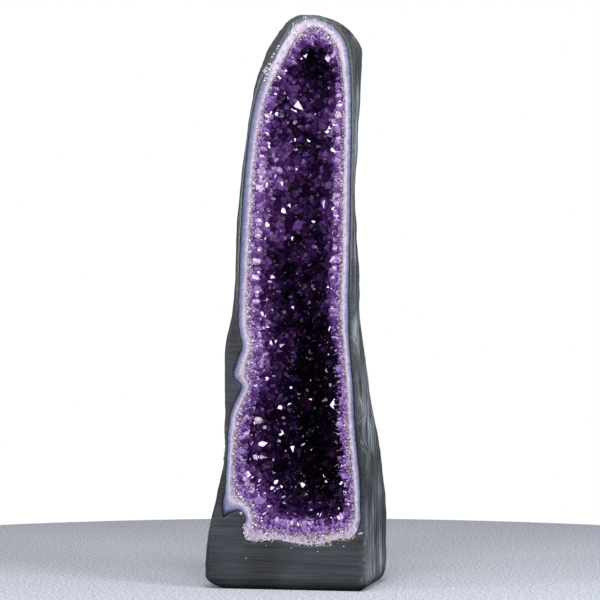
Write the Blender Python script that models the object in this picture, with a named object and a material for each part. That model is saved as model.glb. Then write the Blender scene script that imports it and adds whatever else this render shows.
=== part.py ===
"""Cathedral amethyst geode: a tall half geode, cut flat in front and backed with cast cement.

Metres, +Z up. The flat cut face looks along -Y and the geode stands on its own cement base.
Every solid is a closed mesh; touching solids are kept CONTACT_GAP apart.
"""
import math
import random

import bmesh
import bpy
from mathutils import Vector
from mathutils.geometry import tessellate_polygon

# Overall layout
FRONT_Y = -0.100
CONTACT_GAP = 0.0004
SEED = 57

# Walls behind the cut face
CEMENT_WALL = 0.018
AGATE_WALL = 0.014
LINING_WALL = 0.024

# The line deep inside the geode that the hollow narrows towards, as (x, z)
SPINE_LOW = (0.012, 0.190)
SPINE_HIGH = (0.036, 0.790)

# Shares of the full width left at each step into the geode, from the cut face to the back
BACK_STEPS = (1.0, 0.93, 0.80, 0.60, 0.36, 0.13)
HOLLOW_STEPS = (1.0, 0.97, 0.92, 0.85, 0.76, 0.655, 0.54, 0.41, 0.26, 0.11)

# Mesh fineness
RIM_SEGMENT = 0.021
SECTION_POINTS = 26
LONG_LEVEL_GAP = 0.020
LONG_LEVEL_SPLITS = 2
CUTTER_REACH = 0.020

# Small crystal faces of the lining: rise and lean are shares of a cell's shortest side
FACET_RISE = (0.24, 0.44)
FACET_LEAN = 0.16
FACET_RISE_LIMIT = 0.010
WALL_WANDER = 0.0028

# Single large crystals: fill is the radius as a share of a cell's shortest side, heights are in radii
CRYSTAL_COUNT = 36
CRYSTAL_SPACING = 0.032
CRYSTAL_FILL = 0.47
CRYSTAL_MIN_RADIUS = 0.0058
CRYSTAL_STEPS = (2, 7)
CRYSTAL_SIDES = 6
SHOULDER_HEIGHT = (0.7, 1.3)
TIP_HEIGHT = (1.1, 1.5)
TIP_LEAN = (0.0, 0.25)

# The cement body, level by level. Squareness is 2 for an ellipse and more for a boxier back,
# bulge is how far the sides swell behind the cut face, rounding is how far the front edge pulls back
HEIGHT, LEFT, RIGHT, DEPTH, SQUARENESS, BULGE, ROUNDING = range(7)
BODY_LEVELS = (
    (0.000, -0.098, 0.117, 0.200, 6.0, 0.008, 0.0060),
    (0.004, -0.112, 0.124, 0.208, 6.5, 0.012, 0.0022),
    (0.012, -0.1235, 0.128, 0.213, 7.0, 0.015, 0.0004),
    (0.030, -0.1273, 0.1293, 0.217, 7.0, 0.018, 0.0),
    (0.062, -0.1263, 0.1293, 0.218, 7.0, 0.018, 0.0),
    (0.116, -0.1182, 0.1296, 0.213, 6.5, 0.018, 0.0),
    (0.172, -0.1042, 0.1288, 0.202, 6.0, 0.016, 0.0),
    (0.247, -0.0974, 0.1230, 0.184, 4.6, 0.016, 0.0),
    (0.303, -0.0965, 0.1168, 0.170, 3.8, 0.015, 0.0),
    (0.378, -0.0960, 0.1112, 0.156, 3.2, 0.013, 0.0),
    (0.434, -0.0840, 0.1098, 0.148, 2.7, 0.008, 0.0),
    (0.509, -0.0798, 0.1122, 0.139, 2.3, 0.004, 0.0),
    (0.584, -0.0768, 0.1096, 0.130, 2.0, 0.0, 0.0),
    (0.659, -0.0682, 0.1115, 0.121, 2.0, 0.0, 0.0),
    (0.734, -0.0585, 0.1132, 0.112, 2.4, 0.003, 0.0),
    (0.791, -0.0475, 0.1142, 0.104, 2.9, 0.007, 0.0),
    (0.828, -0.0368, 0.1130, 0.098, 3.1, 0.012, 0.0),
    (0.853, -0.0242, 0.1100, 0.090, 3.0, 0.017, 0.0),
    (0.877, -0.0070, 0.0955, 0.072, 2.4, 0.009, 0.0),
    (0.891, 0.0040, 0.0748, 0.050, 2.2, 0.0, 0.0010),
    (0.898, 0.0125, 0.0590, 0.028, 2.2, 0.0, 0.0040),
)

# The layers on the cut face, clockwise from the crown. Each row is one place on the rim:
# outside of the agate, agate against amethyst, and edge of the hollow, each as (x, z)
RIM = (
    ((0.039, 0.8935), (0.043, 0.878), (0.046, 0.853)),
    ((0.062, 0.889), (0.063, 0.872), (0.063, 0.846)),
    ((0.083, 0.875), (0.078, 0.857), (0.075, 0.827)),
    ((0.097, 0.856), (0.088, 0.832), (0.082, 0.797)),
    ((0.105, 0.823), (0.094, 0.790), (0.085, 0.755)),
    ((0.1075, 0.765), (0.096, 0.725), (0.083, 0.702)),
    ((0.107, 0.690), (0.094, 0.660), (0.081, 0.645)),
    ((0.106, 0.605), (0.093, 0.590), (0.080, 0.580)),
    ((0.1045, 0.520), (0.092, 0.512), (0.077, 0.506)),
    ((0.1035, 0.450), (0.090, 0.450), (0.074, 0.450)),
    ((0.1042, 0.385), (0.093, 0.384), (0.077, 0.384)),
    ((0.1095, 0.319), (0.099, 0.320), (0.083, 0.322)),
    ((0.1135, 0.248), (0.102, 0.252), (0.081, 0.262)),
    ((0.1200, 0.180), (0.108, 0.185), (0.087, 0.200)),
    ((0.1215, 0.131), (0.111, 0.138), (0.095, 0.152)),
    ((0.120, 0.100), (0.109, 0.108), (0.094, 0.124)),
    ((0.108, 0.082), (0.097, 0.093), (0.080, 0.112)),
    ((0.085, 0.079), (0.075, 0.087), (0.058, 0.107)),
    ((0.055, 0.070), (0.048, 0.081), (0.036, 0.106)),
    ((0.018, 0.071), (0.014, 0.082), (0.010, 0.105)),
    ((-0.015, 0.077), (-0.013, 0.086), (-0.012, 0.109)),
    ((-0.044, 0.073), (-0.036, 0.086), (-0.026, 0.112)),
    ((-0.064, 0.076), (-0.051, 0.090), (-0.033, 0.122)),
    ((-0.0665, 0.094), (-0.054, 0.102), (-0.037, 0.133)),
    ((-0.063, 0.112), (-0.053, 0.119), (-0.042, 0.144)),
    ((-0.073, 0.122), (-0.062, 0.133), (-0.050, 0.154)),
    ((-0.087, 0.117), (-0.074, 0.139), (-0.058, 0.164)),
    ((-0.098, 0.111), (-0.082, 0.144), (-0.063, 0.175)),
    ((-0.101, 0.124), (-0.085, 0.156), (-0.065, 0.188)),
    ((-0.096, 0.155), (-0.084, 0.180), (-0.065, 0.207)),
    ((-0.093, 0.205), (-0.082, 0.225), (-0.060, 0.244)),
    ((-0.088, 0.270), (-0.076, 0.271), (-0.054, 0.277)),
    ((-0.075, 0.302), (-0.064, 0.299), (-0.048, 0.302)),
    ((-0.070, 0.317), (-0.057, 0.316), (-0.044, 0.319)),
    ((-0.083, 0.332), (-0.064, 0.334), (-0.042, 0.336)),
    ((-0.078, 0.355), (-0.061, 0.355), (-0.038, 0.357)),
    ((-0.069, 0.380), (-0.054, 0.380), (-0.037, 0.384)),
    ((-0.075, 0.412), (-0.060, 0.410), (-0.041, 0.414)),
    ((-0.074, 0.467), (-0.061, 0.467), (-0.044, 0.463)),
    ((-0.072, 0.530), (-0.058, 0.530), (-0.042, 0.532)),
    ((-0.068, 0.605), (-0.054, 0.603), (-0.039, 0.610)),
    ((-0.061, 0.686), (-0.047, 0.684), (-0.032, 0.690)),
    ((-0.051, 0.750), (-0.038, 0.743), (-0.022, 0.750)),
    ((-0.038, 0.795), (-0.025, 0.784), (-0.010, 0.792)),
    ((-0.020, 0.828), (-0.006, 0.819), (0.005, 0.819)),
    ((-0.001, 0.860), (0.010, 0.849), (0.020, 0.840)),
    ((0.017, 0.885), (0.025, 0.869), (0.033, 0.850)),
)
AGATE_EDGE, AMETHYST_EDGE, HOLLOW_EDGE = 0, 1, 2

# Colours (linear), roughness
CEMENT_LOOK = ((0.042, 0.050, 0.058), 0.55)
AGATE_LOOK = ((0.235, 0.225, 0.400), 0.16)
LINING_LOOK = ((0.150, 0.075, 0.265), 0.24)
CRYSTAL_LOOK = ((0.085, 0.028, 0.180), 0.10)


def clear_scene():
    """Remove every object of the start-up scene."""
    for item in list(bpy.data.objects):
        bpy.data.objects.remove(item, do_unlink=True)


def make_material(name, look):
    """Give a solid its own Principled material."""
    colour, roughness = look
    material = bpy.data.materials.new(name)
    material.use_nodes = True
    shader = material.node_tree.nodes["Principled BSDF"]
    shader.inputs["Base Color"].default_value = (*colour, 1.0)
    shader.inputs["Roughness"].default_value = roughness
    shader.inputs["Metallic"].default_value = 0.0
    return material


def make_object(name, points, faces, look):
    """Build one closed mesh object with all faces turned outwards."""
    mesh = bpy.data.meshes.new(name)
    mesh.from_pydata([tuple(point) for point in points], [], faces)
    grid = bmesh.new()
    grid.from_mesh(mesh)
    bmesh.ops.triangulate(grid, faces=grid.faces)
    bmesh.ops.recalc_face_normals(grid, faces=grid.faces)
    grid.to_mesh(mesh)
    grid.free()
    thing = bpy.data.objects.new(name, mesh)
    bpy.context.collection.objects.link(thing)
    if look is not None:
        mesh.materials.append(make_material(name + "_material", look))
    return thing


def smooth_step(before, start, end, after, share):
    """Catmull-Rom blend between start and end, for numbers of any kind that come in rows."""
    blended = []
    for a, b, c, d in zip(before, start, end, after):
        slope_in = (c - a) / 2
        slope_out = (d - b) / 2
        square = share * share
        cube = square * share
        value = (2 * cube - 3 * square + 1) * b + (cube - 2 * square + share) * slope_in
        value += (3 * square - 2 * cube) * c + (cube - square) * slope_out
        blended.append(value)
    return blended


# ---------------------------------------------------------------- layers on the cut face

def rim_outline(layer):
    """One closed outline of the cut face; all three layers get matching points."""
    count = len(RIM)
    outline = []
    for index in range(count):
        start = RIM[index]
        end = RIM[(index + 1) % count]
        span = math.dist(start[AGATE_EDGE], end[AGATE_EDGE])
        splits = max(1, round(span / RIM_SEGMENT))
        before = RIM[index - 1][layer]
        after = RIM[(index + 2) % count][layer]
        for split in range(splits):
            outline.append(tuple(smooth_step(before, start[layer], end[layer], after, split / splits)))
    return outline


def inset_outline(outline, distance):
    """Move a closed clockwise outline inwards by a small distance."""
    count = len(outline)
    moved = []
    for index, (x, z) in enumerate(outline):
        x_before, z_before = outline[index - 1]
        x_after, z_after = outline[(index + 1) % count]
        along = Vector((x_after - x_before, z_after - z_before)).normalized()
        moved.append((x + along.y * distance, z - along.x * distance))
    return moved


def spine_point(z):
    """The nearest point of the inner line to a height, as (x, z)."""
    height = min(max(z, SPINE_LOW[1]), SPINE_HIGH[1])
    share = (height - SPINE_LOW[1]) / (SPINE_HIGH[1] - SPINE_LOW[1])
    return SPINE_LOW[0] + share * (SPINE_HIGH[0] - SPINE_LOW[0]), height


def body_depth(z):
    """Depth of the cement body behind the cut face at a height."""
    for lower, upper in zip(BODY_LEVELS, BODY_LEVELS[1:]):
        if z <= upper[HEIGHT]:
            share = (z - lower[HEIGHT]) / (upper[HEIGHT] - lower[HEIGHT])
            return lower[DEPTH] + share * (upper[DEPTH] - lower[DEPTH])
    return BODY_LEVELS[-1][DEPTH]


def bowl_rings(outline, wall, steps):
    """Rings of points that close in behind an outline like a bowl.

    Every ring narrows the outline towards the inner line and lies further back.
    """
    rings = []
    for width in steps:
        reach = math.sqrt(max(0.0, 1.0 - width * width))
        ring = []
        for x, z in outline:
            inner_x, inner_z = spine_point(z)
            depth = (body_depth(inner_z) - wall) * reach
            ring.append(Vector((
                inner_x + (x - inner_x) * width,
                FRONT_Y + depth,
                inner_z + (z - inner_z) * width,
            )))
        rings.append(ring)
    return rings


def ring_walls(rings, first_point):
    """Triangles between neighbouring rings of the same length.

    The diagonals always run the same way, so that nested bowls stay a steady gap apart.
    """
    count = len(rings[0])
    faces = []
    for level in range(len(rings) - 1):
        here = first_point + level * count
        beyond = here + count
        for index in range(count):
            after = (index + 1) % count
            faces.append((here + index, here + after, beyond + after))
            faces.append((here + index, beyond + after, beyond + index))
    return faces


def back_cap(layer, first_point):
    """Triangles that close the last ring of a bowl, the same ones for every bowl of a layer."""
    ring = [Vector((x, z, 0.0)) for x, z in rim_outline(layer)]
    for point in ring:
        inner_x, inner_z = spine_point(point.y)
        point.x = inner_x + (point.x - inner_x) * BACK_STEPS[-1]
        point.y = inner_z + (point.y - inner_z) * BACK_STEPS[-1]
    return [tuple(first_point + corner for corner in triangle) for triangle in tessellate_polygon([ring])]


def cut_face(count, start_inner):
    """Flat faces between the first rings of an outer and an inner bowl."""
    faces = []
    for index in range(count):
        after = (index + 1) % count
        faces.append((index, after, start_inner + after, start_inner + index))
    return faces


def flatten(rings):
    """All points of a list of rings in one list."""
    return [point for ring in rings for point in ring]


# ---------------------------------------------------------------- cement casing

def body_levels():
    """The body's levels with smooth levels added in between."""
    count = len(BODY_LEVELS)
    levels = []
    for index in range(count - 1):
        before = BODY_LEVELS[max(index - 1, 0)]
        start = BODY_LEVELS[index]
        end = BODY_LEVELS[index + 1]
        after = BODY_LEVELS[min(index + 2, count - 1)]
        gap = end[HEIGHT] - start[HEIGHT]
        splits = LONG_LEVEL_SPLITS if gap > LONG_LEVEL_GAP else 1
        for split in range(splits):
            row = smooth_step(before, start, end, after, split / splits)
            row[HEIGHT] = start[HEIGHT] + gap * split / splits
            levels.append(row)
    levels.append(list(BODY_LEVELS[-1]))
    return levels


def body_section(level):
    """One level of the body: a flat front and a rounded, slightly bulging back."""
    z, left, right, depth, squareness, bulge, rounding = level
    middle = (left + right) / 2
    half = (right - left) / 2
    section = []
    for index in range(SECTION_POINTS):
        angle = math.pi * index / (SECTION_POINTS - 1)
        across = math.copysign(abs(math.cos(angle)) ** (2 / squareness), math.cos(angle))
        back = math.sin(angle) ** (2 / squareness)
        swell = bulge * math.sin(angle)
        section.append(Vector((
            middle + across * (half + swell),
            FRONT_Y + rounding + (depth - rounding) * back,
            z,
        )))
    return section


def build_casing():
    """Cement base and backing: the whole outer body less the seat of the geode."""
    rings = [body_section(level) for level in body_levels()]
    faces = ring_walls(rings, 0)
    top = (len(rings) - 1) * SECTION_POINTS
    faces.append(tuple(range(SECTION_POINTS)))
    faces.append(tuple(top + index for index in range(SECTION_POINTS)))
    casing = make_object("cement_casing", flatten(rings), faces, CEMENT_LOOK)

    outline = rim_outline(AGATE_EDGE)
    seat = bowl_rings(outline, CEMENT_WALL, BACK_STEPS)
    mouth = [Vector((x, FRONT_Y - CUTTER_REACH, z)) for x, z in outline]
    seat.insert(0, mouth)
    count = len(outline)
    faces = ring_walls(seat, 0) + back_cap(AGATE_EDGE, (len(seat) - 1) * count)
    faces.append(tuple(range(count)))
    cutter = make_object("seat_cutter", flatten(seat), faces, None)

    cut = casing.modifiers.new("seat", "BOOLEAN")
    cut.operation = "DIFFERENCE"
    cut.solver = "EXACT"
    cut.object = cutter
    cut_casing = casing.evaluated_get(bpy.context.evaluated_depsgraph_get())
    cut_mesh = bpy.data.meshes.new_from_object(cut_casing)
    casing.modifiers.clear()
    casing.data = cut_mesh
    bpy.data.objects.remove(cutter, do_unlink=True)
    return casing


# ---------------------------------------------------------------- agate shell

def build_agate():
    """Banded agate and white quartz: a shell between two bowls, cut flat in front."""
    outside = inset_outline(rim_outline(AGATE_EDGE), CONTACT_GAP)
    inside = rim_outline(AMETHYST_EDGE)
    outer = bowl_rings(outside, CEMENT_WALL + CONTACT_GAP, BACK_STEPS)
    inner = bowl_rings(inside, CEMENT_WALL + AGATE_WALL, BACK_STEPS)
    count = len(outside)
    start_inner = len(outer) * count
    faces = ring_walls(outer, 0) + ring_walls(inner, start_inner) + cut_face(count, start_inner)
    faces += back_cap(AGATE_EDGE, (len(outer) - 1) * count)
    faces += back_cap(AMETHYST_EDGE, start_inner + (len(inner) - 1) * count)
    return make_object("agate_shell", flatten(outer) + flatten(inner), faces, AGATE_LOOK)


# ---------------------------------------------------------------- amethyst lining and crystals

def hollow_rings(draw):
    """The wall of the hollow, with every point moved a little so that no row looks drawn."""
    outline = rim_outline(HOLLOW_EDGE)
    rings = bowl_rings(outline, CEMENT_WALL + AGATE_WALL + LINING_WALL, HOLLOW_STEPS)
    for ring in rings[1:-1]:
        for point in ring:
            for axis in range(3):
                point[axis] += draw.uniform(-WALL_WANDER, WALL_WANDER)
    return rings


def cell_frame(corners):
    """Middle, inward direction and shortest side of one four-sided cell of the hollow."""
    middle = sum(corners, Vector()) / 4
    inward = (corners[2] - corners[0]).cross(corners[3] - corners[1]).normalized()
    inner_x, inner_z = spine_point(middle.z)
    towards = Vector((inner_x, FRONT_Y, middle.z)) - middle
    if inward.dot(towards) < 0:
        inward.negate()
    shortest = min((corners[index] - corners[index - 1]).length for index in range(4))
    return middle, inward, shortest


def ring_cells(rings):
    """Every cell of the hollow, with its step, its place in the ring and its four corners."""
    count = len(rings[0])
    for step in range(len(rings) - 1):
        for index in range(count):
            after = (index + 1) % count
            corners = (rings[step][index], rings[step][after], rings[step + 1][after], rings[step + 1][index])
            yield step, index, corners


def choose_seats(rings, draw):
    """Pick well spaced cells for the single large crystals."""
    wanted = []
    for step, index, corners in ring_cells(rings):
        middle, inward, shortest = cell_frame(corners)
        if CRYSTAL_STEPS[0] <= step <= CRYSTAL_STEPS[1] and shortest * CRYSTAL_FILL > CRYSTAL_MIN_RADIUS:
            wanted.append((step, index, middle))
    draw.shuffle(wanted)
    seats = []
    for step, index, middle in wanted:
        if all((middle - other[2]).length > CRYSTAL_SPACING for other in seats):
            seats.append((step, index, middle))
        if len(seats) == CRYSTAL_COUNT:
            break
    return {(step, index) for step, index, middle in seats}


def build_lining(rings, seats, draw):
    """The intergrown bed of small crystals: a shell whose hollow side is all small points."""
    outline = inset_outline(rim_outline(AMETHYST_EDGE), CONTACT_GAP)
    outer = bowl_rings(outline, CEMENT_WALL + AGATE_WALL + CONTACT_GAP, BACK_STEPS)
    count = len(outline)
    start_inner = len(outer) * count
    points = flatten(outer) + flatten(rings)
    faces = ring_walls(outer, 0) + cut_face(count, start_inner)
    faces += back_cap(AMETHYST_EDGE, (len(outer) - 1) * count)
    faces.append(tuple(start_inner + (len(rings) - 1) * count + index for index in range(count)))
    for step, index, corners in ring_cells(rings):
        after = (index + 1) % count
        here = start_inner + step * count
        square = (here + index, here + after, here + count + after, here + count + index)
        if (step, index) in seats:
            faces.append(square)
            continue
        middle, inward, shortest = cell_frame(corners)
        lean = Vector([draw.uniform(-FACET_LEAN, FACET_LEAN) * shortest for axis in range(3)])
        rise = min(draw.uniform(*FACET_RISE) * shortest, FACET_RISE_LIMIT)
        points.append(middle + inward * rise + lean - inward * lean.dot(inward))
        peak = len(points) - 1
        for side in range(4):
            faces.append((square[side], square[(side + 1) % 4], peak))
    return make_object("amethyst_lining", points, faces, LINING_LOOK)


def build_crystal(name, corners, draw):
    """One six-sided crystal standing on its flat seat, with a leaning point."""
    middle, inward, shortest = cell_frame(corners)
    lift = max(abs((corner - middle).dot(inward)) for corner in corners) + CONTACT_GAP
    radius = shortest * CRYSTAL_FILL
    across = inward.orthogonal().normalized()
    upward = inward.cross(across)
    turn = draw.uniform(0, math.tau / CRYSTAL_SIDES)
    shoulder = radius * draw.uniform(*SHOULDER_HEIGHT)
    height = shoulder + radius * draw.uniform(*TIP_HEIGHT)
    lean = radius * draw.uniform(*TIP_LEAN)
    points = []
    for level in (0.0, shoulder):
        for side in range(CRYSTAL_SIDES):
            angle = turn + math.tau * side / CRYSTAL_SIDES
            spread = across * math.cos(angle) + upward * math.sin(angle)
            points.append(middle + inward * (lift + level) + spread * radius)
    points.append(middle + inward * (lift + height) + across * lean)
    tip = len(points) - 1
    faces = [tuple(range(CRYSTAL_SIDES))]
    for side in range(CRYSTAL_SIDES):
        after = (side + 1) % CRYSTAL_SIDES
        faces.append((side, after, CRYSTAL_SIDES + after, CRYSTAL_SIDES + side))
        faces.append((CRYSTAL_SIDES + side, CRYSTAL_SIDES + after, tip))
    return make_object(name, points, faces, CRYSTAL_LOOK)


def build_hollow():
    """Lining and large crystals, which share the wall of the hollow."""
    draw = random.Random(SEED)
    rings = hollow_rings(draw)
    seats = choose_seats(rings, draw)
    solids = [build_lining(rings, seats, draw)]
    number = 0
    for step, index, corners in ring_cells(rings):
        if (step, index) in seats:
            number += 1
            solids.append(build_crystal(f"amethyst_crystal_{number:02d}", corners, draw))
    return solids


# ---------------------------------------------------------------- whole geode

def centre_on_origin(solids):
    """Put the middle of the bounding box on X = 0, Y = 0 and the underside on Z = 0."""
    corners = [vertex.co for solid in solids for vertex in solid.data.vertices]
    lows = [min(corner[axis] for corner in corners) for axis in range(3)]
    highs = [max(corner[axis] for corner in corners) for axis in range(3)]
    shift = Vector((-(lows[0] + highs[0]) / 2, -(lows[1] + highs[1]) / 2, -lows[2]))
    for solid in solids:
        for vertex in solid.data.vertices:
            vertex.co += shift


def main():
    clear_scene()
    solids = [build_casing(), build_agate()] + build_hollow()
    centre_on_origin(solids)


main()
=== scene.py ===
"""Looks of the cathedral amethyst geode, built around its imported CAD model.

Every outline is read from the CAD solids, so the cement, the agate, the bed of amethyst and the
crystals lie where the CAD has them. Metres, +Z up; the flat cut face looks along -Y.
"""

import math
import random
from itertools import combinations, product

import bmesh
import bpy
import numpy as np
from mathutils import Matrix, Vector, noise
from mathutils.geometry import delaunay_2d_cdt


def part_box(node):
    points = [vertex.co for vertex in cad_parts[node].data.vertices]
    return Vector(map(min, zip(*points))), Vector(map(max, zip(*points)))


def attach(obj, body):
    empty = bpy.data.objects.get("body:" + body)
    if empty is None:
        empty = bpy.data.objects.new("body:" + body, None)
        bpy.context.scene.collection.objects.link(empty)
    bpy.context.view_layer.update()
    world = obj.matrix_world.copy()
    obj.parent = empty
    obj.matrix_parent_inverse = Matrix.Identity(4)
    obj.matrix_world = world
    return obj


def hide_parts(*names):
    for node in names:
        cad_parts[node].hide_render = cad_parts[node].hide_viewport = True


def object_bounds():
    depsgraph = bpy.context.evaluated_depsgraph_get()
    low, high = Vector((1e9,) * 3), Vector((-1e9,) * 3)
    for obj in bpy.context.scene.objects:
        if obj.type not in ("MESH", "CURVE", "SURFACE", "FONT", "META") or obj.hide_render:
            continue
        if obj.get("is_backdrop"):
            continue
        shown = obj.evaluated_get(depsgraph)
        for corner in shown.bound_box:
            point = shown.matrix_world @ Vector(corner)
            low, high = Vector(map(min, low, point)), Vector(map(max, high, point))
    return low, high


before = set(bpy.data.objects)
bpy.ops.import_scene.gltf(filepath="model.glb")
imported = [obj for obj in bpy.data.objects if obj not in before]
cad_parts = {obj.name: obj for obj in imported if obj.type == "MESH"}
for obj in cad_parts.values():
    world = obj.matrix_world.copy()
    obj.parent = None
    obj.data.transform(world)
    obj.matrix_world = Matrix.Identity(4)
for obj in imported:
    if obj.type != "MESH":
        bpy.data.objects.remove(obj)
cad_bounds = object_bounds()

# ---------------------------------------------------------------- driving sizes

FRONT_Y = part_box("agate_shell")[0].y
BODY_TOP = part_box("cement_casing")[1].z
OUTWARDS = Vector((0.0, -1.0, 0.0))

# The line that the hollow narrows towards, and the walls behind it, as the CAD has them
SPINE_LOW = Vector((0.011, 0.190))
SPINE_HIGH = Vector((0.035, 0.790))
CEMENT_WALL = 0.018
AGATE_WALL = 0.014
LINING_WALL = 0.024
BEHIND_AGATE = CEMENT_WALL + AGATE_WALL
BEHIND_LINING = BEHIND_AGATE + LINING_WALL
SKIN_GAP = 0.0004

# Mesh fineness
RIM_SPACING = 0.0026
FACE_SPACING = 0.0026
BODY_ROW = 0.0040
BODY_COLUMNS = 132
BOWL_STEPS = (0.985, 0.93, 0.80, 0.60, 0.36, 0.13)
HOLLOW_STEPS = 26
MERGE_GAP = 2e-5
SMALLEST_LEVEL = 24
QUARTZ_SHAPES = 24
HOLLOW_TRIES = 90000
RIM_TRIES = 150000

# Crystals: the heights of their meshes' bands, how close they stand and how far they lean
HOLLOW_BANDS, HOLLOW_LOW, HOLLOW_HEIGHT = 12, 0.09, 0.78
RIM_BANDS, RIM_LOW, RIM_HEIGHT = 6, 0.07, 0.82
HOLLOW_DEPTH = 0.13
HOLLOW_RADII = (0.0040, 0.0068)
LARGER_SHARE, LARGER_BY = 0.20, 0.0032
HOLLOW_CELL, HOLLOW_CROWDING = 0.01, 0.62
RIM_CELL, RIM_CROWDING = 0.008, 0.66
USUAL_LEAN, STRONG_LEAN, STRONG_SHARE = 0.55, 1.30, 0.25

SEED = 7


# ---------------------------------------------------------------- small tools

def make_object(name, points, faces, smooth=False):
    """A mesh object in the scene from points and faces."""
    mesh = bpy.data.meshes.new(name)
    mesh.from_pydata([tuple(point) for point in points], [], faces)
    mesh.update()
    thing = bpy.data.objects.new(name, mesh)
    bpy.context.scene.collection.objects.link(thing)
    if smooth:
        mesh.shade_smooth()
    return thing


def turn_outwards(thing):
    """Turn all faces of a closed mesh outwards."""
    grid = bmesh.new()
    grid.from_mesh(thing.data)
    bmesh.ops.recalc_face_normals(grid, faces=grid.faces)
    grid.to_mesh(thing.data)
    grid.free()


def set_attribute(thing, name, values):
    """One number for every vertex, which a material can read."""
    layer = thing.data.attributes.new(name, "FLOAT", "POINT")
    layer.data.foreach_set("value", np.asarray(values, dtype=np.float32))


def hermite(knots, values, wanted):
    """Smooth values between knots; values may have any number of columns."""
    knots = np.asarray(knots, float)
    values = np.asarray(values, float)
    slopes = np.gradient(values, knots, axis=0)
    place = np.clip(np.searchsorted(knots, wanted, side="right") - 1, 0, len(knots) - 2)
    width = knots[place + 1] - knots[place]
    share = (wanted - knots[place]) / width
    shape = (-1,) + (1,) * (values.ndim - 1)
    share, width = share.reshape(shape), width.reshape(shape)
    square, cube = share ** 2, share ** 3
    blended = (2 * cube - 3 * square + 1) * values[place] + (3 * square - 2 * cube) * values[place + 1]
    blended += (cube - 2 * square + share) * width * slopes[place]
    blended += (cube - square) * width * slopes[place + 1]
    return blended


def part_of(amount, full):
    """How far an amount has come towards its full size, from 0 to 1."""
    return max(0.0, min(1.0, amount / full))


def waves(point, size, offset=0.0):
    """Smooth noise of about -1 to 1 whose bumps are about size metres across."""
    return noise.noise(Vector(point) / size + Vector((offset, offset * 0.7, -offset)))


def inside(points, loop):
    """Which of the (x, z) points lie inside a closed loop."""
    start = loop
    end = np.roll(loop, -1, axis=0)
    x, z = points[:, 0:1], points[:, 1:2]
    straddles = (start[:, 1] > z) != (end[:, 1] > z)
    rise = np.where(end[:, 1] == start[:, 1], 1e-12, end[:, 1] - start[:, 1])
    crossing = start[:, 0] + (z - start[:, 1]) / rise * (end[:, 0] - start[:, 0])
    return (straddles & (x < crossing)).sum(axis=1) % 2 == 1


def distance_to(points, loop):
    """Distance from (x, z) points to the nearest point of a finely spaced loop."""
    nearest = np.empty(len(points))
    for first in range(0, len(points), 2000):
        block = points[first:first + 2000]
        gaps = block[:, None, :] - loop[None, :, :]
        nearest[first:first + 2000] = np.sqrt((gaps ** 2).sum(axis=2).min(axis=1))
    return nearest


def way_across(points, outer, inner):
    """Where (x, z) points lie between two loops: 0 at the outer one, 1 at the inner one."""
    outer_gap = distance_to(points, outer)
    inner_gap = distance_to(points, inner)
    return outer_gap / (outer_gap + inner_gap + 1e-9)


def neighbours(cells, cell):
    """Everything kept in a cell and in the cells around it."""
    for steps in product((-1, 0, 1), repeat=len(cell)):
        yield from cells.get(tuple(index + step for index, step in zip(cell, steps)), ())


# ---------------------------------------------------------------- outlines from the CAD solids

def merged_mesh(node):
    """A CAD node's mesh with the doubles along its sharp edges merged."""
    grid = bmesh.new()
    grid.from_mesh(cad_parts[node].data)
    bmesh.ops.remove_doubles(grid, verts=grid.verts, dist=MERGE_GAP)
    return grid


def cut_loops(node):
    """The closed outlines of a node's flat cut face, longest first, as (x, z) rows."""
    grid = merged_mesh(node)
    flat = {face for face in grid.faces if all(abs(vertex.co.y - FRONT_Y) < 1e-4 for vertex in face.verts)}
    links = {}
    for edge in grid.edges:
        if sum(face in flat for face in edge.link_faces) == 1:
            first, second = edge.verts
            links.setdefault(first, []).append(second)
            links.setdefault(second, []).append(first)
    loops = []
    while links:
        start = next(iter(links))
        loop = [start]
        previous, here = None, start
        while True:
            ahead = [vertex for vertex in links[here] if vertex is not previous]
            following = ahead[0]
            if following is start:
                break
            loop.append(following)
            previous, here = here, following
        for vertex in loop:
            del links[vertex]
        loops.append(np.array([(vertex.co.x, vertex.co.z) for vertex in loop]))
    grid.free()
    loops.sort(key=lambda rows: -np.ptp(rows[:, 1]))
    return loops


def smooth_loop(loop, spacing):
    """The same closed loop, rounded between its corners and evenly spaced, clockwise from its top."""
    area = (loop[:, 0] * np.roll(loop[:, 1], -1) - np.roll(loop[:, 0], -1) * loop[:, 1]).sum()
    if area > 0:
        loop = loop[::-1]
    loop = np.roll(loop, -int(loop[:, 1].argmax()), axis=0)
    wrapped = np.vstack([loop[-3:], loop, loop[:4]])
    lengths = np.linalg.norm(np.diff(wrapped, axis=0), axis=1)
    knots = np.concatenate([[0.0], np.cumsum(lengths)])
    begin, end = knots[3], knots[3 + len(loop)]
    count = int(round((end - begin) / spacing))
    return hermite(knots, wrapped, begin + (end - begin) * np.arange(count) / count)


def wavering(loop, height, size, offset):
    """Move a loop in and out a little, as a natural border runs."""
    along = np.roll(loop, -1, axis=0) - np.roll(loop, 1, axis=0)
    along /= np.linalg.norm(along, axis=1)[:, None]
    outwards = np.column_stack([-along[:, 1], along[:, 0]])
    shift = [height * waves((x, 0.0, z), size, offset) for x, z in loop]
    return loop + outwards * np.array(shift)[:, None]


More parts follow.
